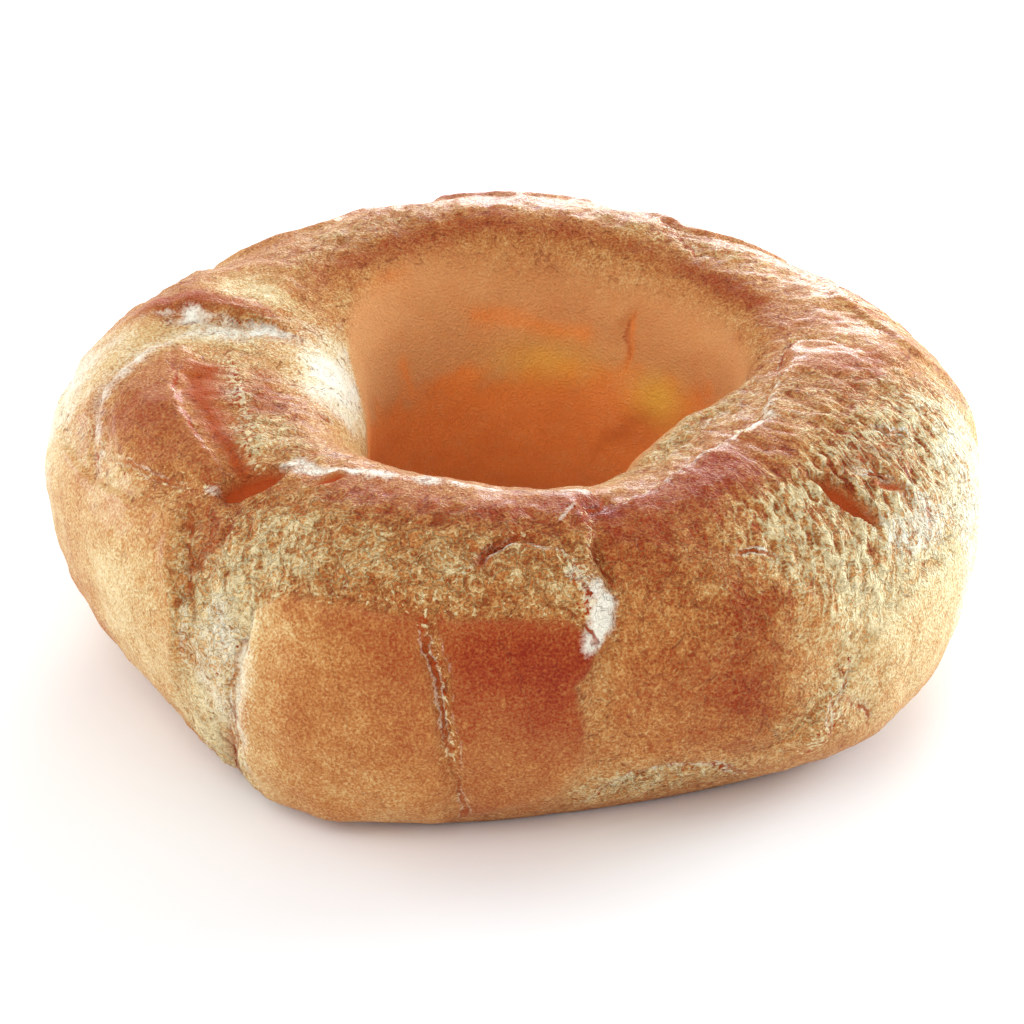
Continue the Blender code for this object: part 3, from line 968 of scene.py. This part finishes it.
def crust_grain_group():
    """Height and tone of the baked skin: a fine dry grain everywhere, squiggly wrinkles where it
    is rough, from the creases of a bent noise, and a few pores where it isn't sleek."""
    group, given, result = new_group(
        "crust_grain",
        (("Vector", "Vector"), ("Rough", "Float"), ("Sleek", "Float")),
        (("Height", "Float"), ("Grain", "Float"), ("Pores", "Float")),
    )

    def by_roughness(everywhere, where_rough):
        """Strength that grows in step with the roughness."""
        return added(group, everywhere, product(group, given["Rough"], where_rough))

    fine = noise_field(group, given["Vector"], 0.26, detail=2, roughness=0.6, distortion=0.3)
    fine = remap(group, fine, 0.30, 0.70)
    bent = noise_field(group, given["Vector"], 1.15, detail=1.5, roughness=0.55, distortion=1.2)
    crease = math_node(group, "ABSOLUTE", less(group, bent, 0.5))
    wrinkles = remap(group, crease, 0.0, 0.11, 1.0, 0.0)
    dull = math_node(group, "SUBTRACT", 1.0, given["Sleek"], clamp=True)
    pore = product(group, remap(group, bent, 0.66, 0.70), dull)
    relief = product(group, fine, by_roughness(0.28, 0.16))
    relief = added(group, relief, product(group, wrinkles, by_roughness(0.06, 0.65)))
    relief = less(group, relief, product(group, pore, 0.4))
    wrinkle_tone = product(group, less(group, wrinkles, 0.45), by_roughness(0.06, 0.24))
    fine_tone = product(group, less(group, fine, 0.5), by_roughness(0.38, 0.10))
    group.links.new(relief, result["Height"])
    group.links.new(added(group, wrinkle_tone, fine_tone), result["Grain"])
    group.links.new(pore, result["Pores"])
    return group


def drawn_skin_group():
    """Short worm-like ridges of drawn dough, 1 on a ridge and 0 in a furrow: the creases of a
    noise laid in the stretched direction that the skin carries."""
    group, given, result = new_group(
        "drawn_skin", (("Flow", "Vector"),), (("Ridges", "Float"),))
    bent = add_node(
        group, "ShaderNodeTexNoise",
        values=(("Scale", 1.5), ("Detail", 1.0), ("Roughness", 0.5), ("Distortion", 0.25)),
        links=(("Vector", given["Flow"]),)).outputs["Fac"]
    crease = math_node(group, "ABSOLUTE", less(group, bent, 0.5))
    group.links.new(remap(group, crease, 0.0, 0.14, 1.0, 0.0), result["Ridges"])
    return group


def torn_crumbs_group():
    """Masks of loose crumbs: specks of noise above and below the middle become pale dough and
    dark caramel, with their height. Fewer specks pass where the amount is small."""
    group, given, result = new_group(
        "torn_crumbs", (("Vector", "Vector"), ("Amount", "Float")),
        (("Pale", "Float"), ("Dark", "Float"), ("Height", "Float")))
    specks = noise_field(group, given["Vector"], 0.55, detail=1.5, roughness=0.55, distortion=0.5)
    missing = product(group, less(group, 1.0, given["Amount"]), 0.20)
    present = remap(group, given["Amount"], 0.04, 0.16)
    above = remap(group, less(group, specks, missing), 0.50, 0.57)
    below = remap(group, added(group, specks, missing), 0.45, 0.38)
    group.links.new(product(group, present, above), result["Pale"])
    group.links.new(product(group, present, below), result["Dark"])
    group.links.new(product(group, specks, given["Amount"]), result["Height"])
    return group


def fine_tear_group():
    """Masks of a hair-thin tear along a line: the gap itself and the two torn lips beside it,
    from the distance to the line in mm, made ragged and broken by fine noise."""
    group, given, result = new_group(
        "fine_tear",
        (("Vector", "Vector"), ("Line", "Float")),
        (("Gap", "Float"), ("Lips", "Float")),
    )
    ragged = noise_field(group, given["Vector"], 0.9, detail=2, roughness=0.6)
    broken = noise_field(group, given["Vector"], 1.5, detail=2)
    shift = product(group, less(group, ragged, 0.5), 0.9)
    away = math_node(group, "ABSOLUTE", added(group, given["Line"], shift))
    gap = remap(group, away, 0.08, 0.30, 1.0, 0.0)
    frayed = added(group, away, product(group, broken, 0.8))
    outer_edge = remap(group, frayed, 0.65, 1.15, 1.0, 0.0)
    group.links.new(product(group, gap, remap(group, broken, 0.32, 0.46)), result["Gap"])
    group.links.new(product(group, remap(group, away, 0.10, 0.30), outer_edge), result["Lips"])
    return group


def baked_colour_group():
    """Colour of the crust: a ramp by its browning, moist dough in the hole with its painted glow,
    then pale dough and painted highlights, dark caramel and dark pores over it."""
    group, given, result = new_group(
        "baked_colour",
        (("Browning", "Float"), ("Inside", "Float"), ("Deep", "Float"), ("Yolk", "Float"),
         ("Cream", "Float"), ("Ember", "Float"), ("Pores", "Float")),
        (("Color", "Color"),),
    )
    ramp = add_node(group, "ShaderNodeValToRGB", links=((0, given["Browning"]),))
    stops = (
        (0.00, srgb(243, 220, 169)),
        (0.20, srgb(222, 181, 121)),
        (0.40, srgb(202, 137, 74)),
        (0.60, srgb(177, 102, 50)),
        (0.80, srgb(163, 68, 26)),
        (1.00, srgb(140, 38, 12)),
    )
    elements = ramp.color_ramp.elements
    while len(elements) < len(stops):
        elements.new(0.5)
    for element, (position, colour) in zip(elements, stops):
        element.position = position
        element.color = colour
    # Moist dough in the hole, made brighter as a painted glow of light through the crust.
    moist_glow = mix_colours(group, given["Deep"], srgb(221, 154, 96), srgb(246, 142, 66))
    moist_glow = mix_colours(group, given["Yolk"], moist_glow, srgb(252, 196, 78))
    moist_share = product(group, given["Inside"], 0.80)
    colour = mix_colours(group, moist_share, ramp.outputs[0], moist_glow)
    colour = mix_colours(group, given["Cream"], colour, srgb(255, 248, 230))
    colour = mix_colours(group, given["Ember"], colour, srgb(174, 66, 18))
    colour = mix_colours(group, product(group, given["Pores"], 0.5), colour, srgb(128, 48, 14))
    group.links.new(colour, result["Color"])
    return group


def attribute(tree, name, output="Fac"):
    """Value of one of the mesh's named layers."""
    return add_node(tree, "ShaderNodeAttribute", attribute_name=name).outputs[output]


crust_material = bpy.data.materials.new("baked_choux")
crust_material.use_nodes = True
tree = crust_material.node_tree
shader = tree.nodes["Principled BSDF"]
place = add_node(tree, "ShaderNodeTexCoord").outputs["Object"]
grain = add_node(tree, "ShaderNodeGroup", node_tree=crust_grain_group(), links=(
    ("Vector", place), ("Rough", attribute(tree, "rough")), ("Sleek", attribute(tree, "sleek"))))
tear = add_node(tree, "ShaderNodeGroup", node_tree=fine_tear_group(), links=(
    ("Vector", place), ("Line", attribute(tree, "crack_line"))))
loose = add_node(tree, "ShaderNodeGroup", node_tree=torn_crumbs_group(), links=(
    ("Vector", place), ("Amount", attribute(tree, "crumbs"))))
drawn_skin = add_node(tree, "ShaderNodeGroup", node_tree=drawn_skin_group(), links=(
    ("Flow", attribute(tree, "drawn", "Vector")),))
gap = product(tree, tear.outputs["Gap"], attribute(tree, "crack_ember"))
lips = product(tree, tear.outputs["Lips"], attribute(tree, "crack_cream"))
ridged = product(tree, less(tree, drawn_skin.outputs["Ridges"], 0.45), attribute(tree, "pulled"))

# Browning, mottled in clouds and darker in the furrows of the grain; pale crumbs have none. The
# drawn ridges are paler than their furrows, painted light and shade on them.
cloud = noise_field(tree, place, 2.4, detail=4, roughness=0.65)
mottle = product(tree, less(tree, cloud, 0.5), 0.34)
grained = added(tree, grain.outputs["Grain"], product(tree, ridged, 0.60))
tone = math_node(tree, "ADD", attribute(tree, "browning"), less(tree, mottle, grained), clamp=True)
tone = product(tree, tone, less(tree, 1.0, loose.outputs["Pale"]))
deep = math_node(tree, "ADD", attribute(tree, "deep"), product(tree, mottle, 2.4), clamp=True)

# Bare white dough and painted highlights, whole where they are strong and speckled by the grain
# where they fade.
white = math_node(tree, "MAXIMUM", attribute(tree, "cream"), lips)
fading = product(tree, white, math_node(tree, "SUBTRACT", 1.0, white, clamp=True))
white_and_highlit = added(tree, white, product(tree, fading, product(tree, grained, 3.0)))
caramel = math_node(tree, "MAXIMUM", attribute(tree, "ember"), gap)
caramel = math_node(tree, "MAXIMUM", caramel, loose.outputs["Dark"])
colour = add_node(tree, "ShaderNodeGroup", node_tree=baked_colour_group(), links=(
    ("Browning", tone), ("Inside", attribute(tree, "inside")), ("Deep", deep),
    ("Yolk", attribute(tree, "yolk_glow")), ("Cream", remap(tree, white_and_highlit, 0.15, 0.75)),
    ("Ember", caramel), ("Pores", grain.outputs["Pores"])))
tree.links.new(colour.outputs["Color"], shader.inputs["Base Color"])

torn_height = less(tree, product(tree, lips, 0.5), product(tree, gap, 0.35))
height = added(tree, grain.outputs["Height"], torn_height)
height = added(tree, height, product(tree, ridged, 0.90))
height = added(tree, height, product(tree, loose.outputs["Height"], 0.7))
bump = add_node(tree, "ShaderNodeBump",
                values=(("Strength", 1.0), ("Distance", 0.40 * MM)),
                links=(("Height", height),))
tree.links.new(bump.outputs[0], shader.inputs["Normal"])

# Dry caramel is dull. The wash left its thin shine mostly on the smooth skin.
dullness = remap(tree, grain.outputs["Grain"], -0.2, 0.2, 0.70, 0.50)
dullness = math_node(tree, "MAXIMUM", dullness, product(tree, caramel, 0.95))
tree.links.new(dullness, shader.inputs["Roughness"])
smooth_share = remap(tree, attribute(tree, "rough"), 0.1, 0.9, 0.13, 0.03)
unwashed = math_node(tree, "MAXIMUM", attribute(tree, "inside"), attribute(tree, "ember"))
wash = product(tree, smooth_share, less(tree, 1.0, unwashed))
tree.links.new(wash, shader.inputs["Coat Weight"])
shader.inputs["Coat Roughness"].default_value = 0.22
shader.inputs["Specular IOR Level"].default_value = 0.10
shader.inputs["Sheen Weight"].default_value = 0.04
shader.inputs["Sheen Roughness"].default_value = 0.40
crust_mesh.materials.append(crust_material)

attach(crust, "root")
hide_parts("choux_ring")


# The table. A plain white surface in soft light from all round. Three soft lights stand low at
# the right, the back and the left and whiten the ring's edges, and one is high at the front left.
floor_mesh = bpy.data.meshes.new("table_top")
half_table = 3.0
table_gap = 0.2 * MM
floor_mesh.from_pydata(
    [(-half_table, -half_table, 0), (half_table, -half_table, 0),
     (half_table, half_table, 0), (-half_table, half_table, 0)], [], [(0, 1, 2, 3)])
floor = bpy.data.objects.new("table_top", floor_mesh)
bpy.context.collection.objects.link(floor)
floor.location.z = -table_gap
floor_material = bpy.data.materials.new("white_table")
floor_material.use_nodes = True
floor_shader = floor_material.node_tree.nodes["Principled BSDF"]
floor_shader.inputs["Base Color"].default_value = (0.93, 0.93, 0.93, 1.0)
floor_shader.inputs["Roughness"].default_value = 0.9
floor_mesh.materials.append(floor_material)
floor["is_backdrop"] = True

world = bpy.data.worlds.new("studio_air")
world.use_nodes = True
background = world.node_tree.nodes["Background"]
background.inputs["Color"].default_value = (1.0, 0.99, 0.98, 1.0)
background.inputs["Strength"].default_value = 0.86
bpy.context.scene.world = world


def soft_light(name, azimuth, elevation, distance, size, watts, tint=(1.0, 1.0, 1.0)):
    """Square area light aimed at the ring, placed by its angles in degrees (azimuth 0 front, 90
    right) and its distance in metres."""
    lamp = bpy.data.lights.new(name, "AREA")
    lamp.size = size
    lamp.energy = watts
    lamp.color = tint
    holder = bpy.data.objects.new(name, lamp)
    turn = math.radians(azimuth)
    lift = math.radians(elevation)
    toward = Vector((math.sin(turn) * math.cos(lift), -math.cos(turn) * math.cos(lift),
                     math.sin(lift)))
    holder.location = toward * distance
    holder.rotation_mode = "QUATERNION"
    holder.rotation_quaternion = toward.to_track_quat("Z", "Y")
    bpy.context.collection.objects.link(holder)


cool_white = (0.74, 0.89, 1.0)
soft_light("right_softbox", 116, 10, 0.6, 0.30, 6.2, cool_white)
soft_light("back_softbox", 172, 6, 0.6, 0.28, 5.2, (0.86, 0.94, 1.0))
soft_light("left_softbox", -116, 8, 0.6, 0.26, 2.3, cool_white)
soft_light("high_front_left", -40, 50, 0.8, 0.6, 1.8)

# The camera looks 28 degrees down from the front, close enough to fill the frame.
camera_elevation = math.radians(28)
camera_distance = 280 * MM
camera_drop = 2.61 * MM
focal_length = 90.5
aim = Vector((-middle[0] * MM, -middle[1] * MM, 17 * MM))
camera_data = bpy.data.cameras.new("studio_camera")
camera_data.lens = focal_length
camera_data.sensor_width = 36.0
camera_data.clip_start = 0.01
camera = bpy.data.objects.new("studio_camera", camera_data)
back = Vector((0, -math.cos(camera_elevation), math.sin(camera_elevation)))
upward = Vector((0, math.sin(camera_elevation), math.cos(camera_elevation)))
camera.location = aim + back * camera_distance - upward * camera_drop
camera.rotation_mode = "QUATERNION"
camera.rotation_quaternion = back.to_track_quat("Z", "Y")
bpy.context.collection.objects.link(camera)
bpy.context.scene.camera = camera
bpy.context.scene.view_settings.view_transform = "Standard"

low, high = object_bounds()
